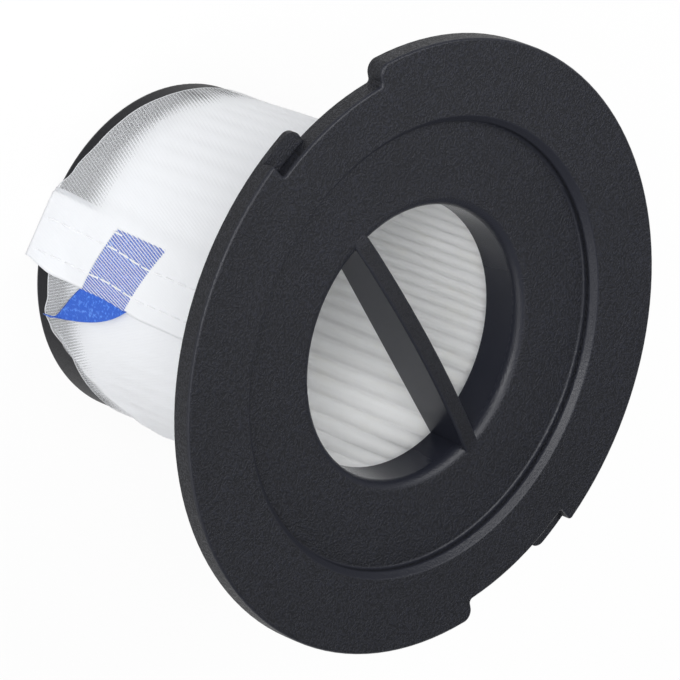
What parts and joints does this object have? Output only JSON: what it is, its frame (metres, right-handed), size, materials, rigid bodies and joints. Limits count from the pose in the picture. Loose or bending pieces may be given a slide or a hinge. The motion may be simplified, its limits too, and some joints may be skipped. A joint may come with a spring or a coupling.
{
  "type": "vacuum cleaner filter",
  "caption": "Cartridge filter: black bayonet flange with a finger bar across its bore, white pleated paper ring under a sheer mesh sleeve with a blue pull ribbon, and a black end cap.",
  "frame": {"origin": "centre of the end cap's outer face, which the filter stands on", "axes": "+Z along the filter's axis from the end cap to the flange, +X along the finger bar, +Y completes the right-handed frame"},
  "size_m": [0.0958, 0.096, 0.0599],
  "materials": {
    "flange_plastic": "moulded, fine spark-eroded grain",
    "cap_plastic": "moulded, smooth satin",
    "pleat_paper": "fibrous filter paper",
    "hot_melt": "set hot-melt, slightly glossy",
    "sleeve_mesh": "sheer woven nylon mesh",
    "ribbon_weave": "woven satin ribbon"
  },
  "bodies": {
    "root": {"flange": "flange_plastic", "end_cap": "cap_plastic", "pleated_media": "pleat_paper", "upper_adhesive": "hot_melt", "lower_adhesive": "hot_melt", "mesh_sleeve": "sleeve_mesh", "pull_ribbon": "ribbon_weave"}
  },
  "joints": []
}
